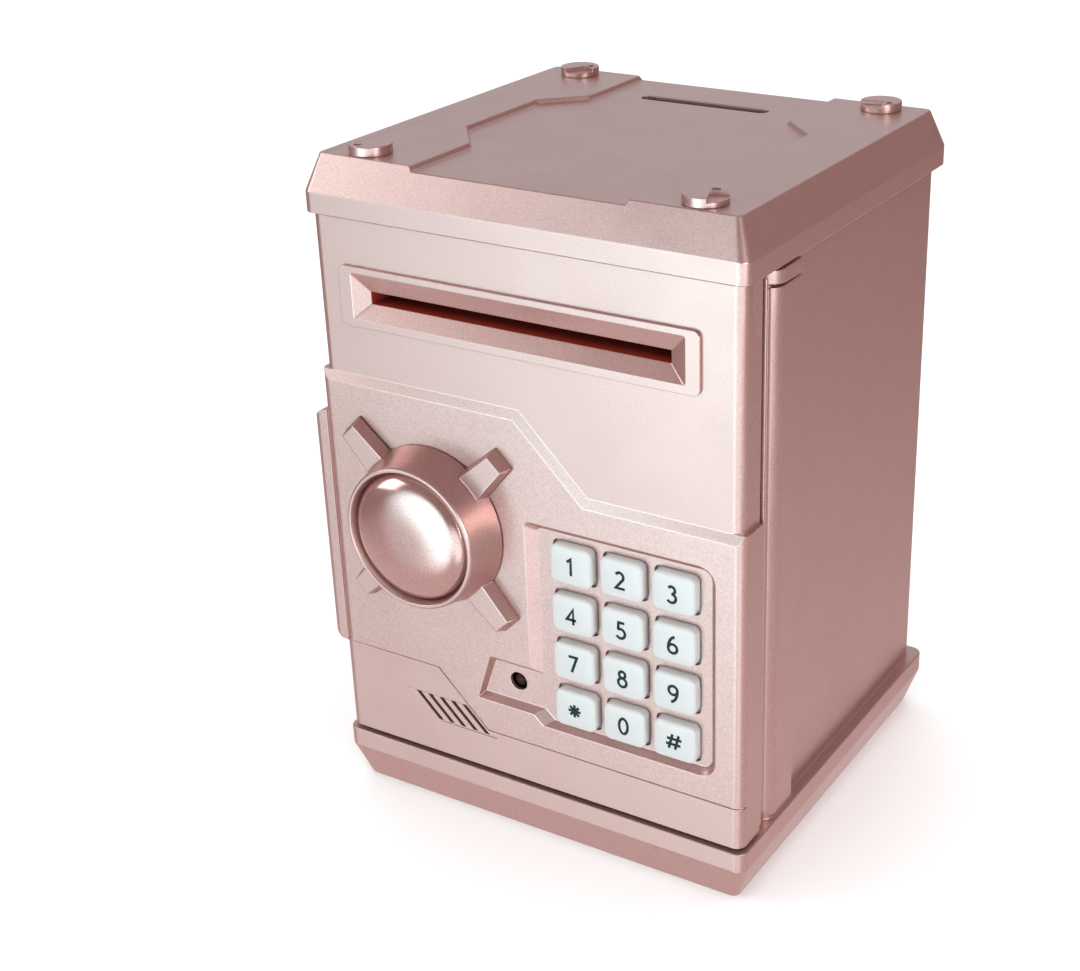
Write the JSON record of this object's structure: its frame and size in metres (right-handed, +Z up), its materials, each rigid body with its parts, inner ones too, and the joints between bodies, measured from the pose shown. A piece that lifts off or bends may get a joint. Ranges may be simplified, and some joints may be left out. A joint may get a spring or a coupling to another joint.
{
  "type": "toy atm savings bank",
  "caption": "Locking savings box with keypad door, turning latch knob, motor-driven banknote feeder and coin slot in the cap.",
  "frame": {"origin": "middle of the base, on the surface that the bank stands on", "axes": "+X to the right seen from the front, +Z up, the door faces -Y"},
  "size_m": [0.1351, 0.1351, 0.1925],
  "materials": {
    "shell": "satin metallic rose paint",
    "knob": "glossy metallic rose paint",
    "keys": "smooth white",
    "inner": "fine black mould texture",
    "gears": "natural white",
    "steel": "zinc plated",
    "brass": "turned",
    "copper": "enamelled winding under clear tape",
    "rubber": "matt",
    "board": "solder mask",
    "lamp": "tinted clear",
    "cell": "printed sleeve"
  },
  "bodies": {
    "case": {"case_shell": "shell", "floor_plate": "shell", "floor_screws": "steel", "top_cap": "shell", "bolt_covers": "shell", "cap_screws": "steel", "post_cap": "shell", "hinge_pins": "steel"},
    "door": {"door_shell": "shell", "note_bezel": "shell", "back_cover": "shell", "cover_screws": "steel", "keypad_mat": "rubber", "circuit_board": "board", "control_chip": "inner", "status_led": "lamp", "board_screws": "steel", "speaker": "inner", "battery_door": "shell", "battery_door_screw": "steel", "battery_1": "cell", "battery_2": "cell", "battery_3": "cell", "battery_springs": "steel", "battery_plates": "steel", "solenoid_frame": "steel", "solenoid_coil": "copper", "plunger_spring": "steel", "feed_frame": "inner", "note_sensor": "inner", "feed_motor": "steel", "gear_arbor": "steel"},
    "knob": {"knob_body": "shell", "knob_dome": "knob", "latch_cam": "steel", "cam_screw": "steel"},
    "plunger": {"solenoid_plunger": "steel"},
    "feed_roller": {"roller_shaft": "steel", "feed_rollers": "rubber", "drive_gear": "gears"},
    "idler_roller": {"idler_shaft": "steel", "idler_wheels": "gears"},
    "reduction_gear": {"compound_gear": "gears"},
    "motor_rotor": {"motor_shaft": "steel", "motor_pinion": "brass"},
    "key_1_cap": {"key_1": "keys"},
    "key_2_cap": {"key_2": "keys"},
    "key_3_cap": {"key_3": "keys"},
    "key_4_cap": {"key_4": "keys"},
    "key_5_cap": {"key_5": "keys"},
    "key_6_cap": {"key_6": "keys"},
    "key_7_cap": {"key_7": "keys"},
    "key_8_cap": {"key_8": "keys"},
    "key_9_cap": {"key_9": "keys"},
    "key_star_cap": {"key_star": "keys"},
    "key_0_cap": {"key_0": "keys"},
    "key_hash_cap": {"key_hash": "keys"}
  },
  "joints": [
    {"name": "door_hinge", "type": "hinge", "parent": "case", "child": "door", "pos_m": [0.061, -0.0535, 0.096], "axis": [0, 0, 1], "range_deg": [0, 105]},
    {"name": "knob_turn", "type": "hinge", "parent": "door", "child": "knob", "pos_m": [-0.03, -0.06, 0.092], "axis": [0, -1, 0], "range_deg": [0, 90]},
    {"name": "plunger_stroke", "type": "slide", "parent": "door", "child": "plunger", "axis": [0, 0, -1], "range_m": [0, 0.0025], "stiffness_N_per_m": 150, "springref_m": -0.001, "deforming": ["plunger_spring"]},
    {"name": "feed_roller_spin", "type": "hinge", "parent": "door", "child": "feed_roller", "pos_m": [0, -0.034, 0.14565], "axis": [1, 0, 0], "continuous": true},
    {"name": "idler_spin", "type": "hinge", "parent": "door", "child": "idler_roller", "pos_m": [0, -0.034, 0.15695], "axis": [1, 0, 0], "continuous": true},
    {"name": "reduction_spin", "type": "hinge", "parent": "door", "child": "reduction_gear", "pos_m": [0.05, -0.034, 0.13125], "axis": [1, 0, 0], "continuous": true},
    {"name": "motor_spin", "type": "hinge", "parent": "door", "child": "motor_rotor", "pos_m": [0.05, -0.034, 0.11625], "axis": [1, 0, 0], "continuous": true},
    {"name": "key_1_press", "type": "slide", "parent": "door", "child": "key_1_cap", "axis": [0, 1, 0], "range_m": [0, 0.0012], "stiffness_N_per_m": 250},
    {"name": "key_2_press", "type": "slide", "parent": "door", "child": "key_2_cap", "axis": [0, 1, 0], "range_m": [0, 0.0012], "stiffness_N_per_m": 250},
    {"name": "key_3_press", "type": "slide", "parent": "door", "child": "key_3_cap", "axis": [0, 1, 0], "range_m": [0, 0.0012], "stiffness_N_per_m": 250},
    {"name": "key_4_press", "type": "slide", "parent": "door", "child": "key_4_cap", "axis": [0, 1, 0], "range_m": [0, 0.0012], "stiffness_N_per_m": 250},
    {"name": "key_5_press", "type": "slide", "parent": "door", "child": "key_5_cap", "axis": [0, 1, 0], "range_m": [0, 0.0012], "stiffness_N_per_m": 250},
    {"name": "key_6_press", "type": "slide", "parent": "door", "child": "key_6_cap", "axis": [0, 1, 0], "range_m": [0, 0.0012], "stiffness_N_per_m": 250},
    {"name": "key_7_press", "type": "slide", "parent": "door", "child": "key_7_cap", "axis": [0, 1, 0], "range_m": [0, 0.0012], "stiffness_N_per_m": 250},
    {"name": "key_8_press", "type": "slide", "parent": "door", "child": "key_8_cap", "axis": [0, 1, 0], "range_m": [0, 0.0012], "stiffness_N_per_m": 250},
    {"name": "key_9_press", "type": "slide", "parent": "door", "child": "key_9_cap", "axis": [0, 1, 0], "range_m": [0, 0.0012], "stiffness_N_per_m": 250},
    {"name": "key_star_press", "type": "slide", "parent": "door", "child": "key_star_cap", "axis": [0, 1, 0], "range_m": [0, 0.0012], "stiffness_N_per_m": 250},
    {"name": "key_0_press", "type": "slide", "parent": "door", "child": "key_0_cap", "axis": [0, 1, 0], "range_m": [0, 0.0012], "stiffness_N_per_m": 250},
    {"name": "key_hash_press", "type": "slide", "parent": "door", "child": "key_hash_cap", "axis": [0, 1, 0], "range_m": [0, 0.0012], "stiffness_N_per_m": 250}
  ],
  "couplings": [
    {"joint": "idler_spin", "follows": "feed_roller_spin", "ratio": -1.75},
    {"joint": "reduction_spin", "follows": "feed_roller_spin", "ratio": -3},
    {"joint": "motor_spin", "follows": "feed_roller_spin", "ratio": 12}
  ]
}
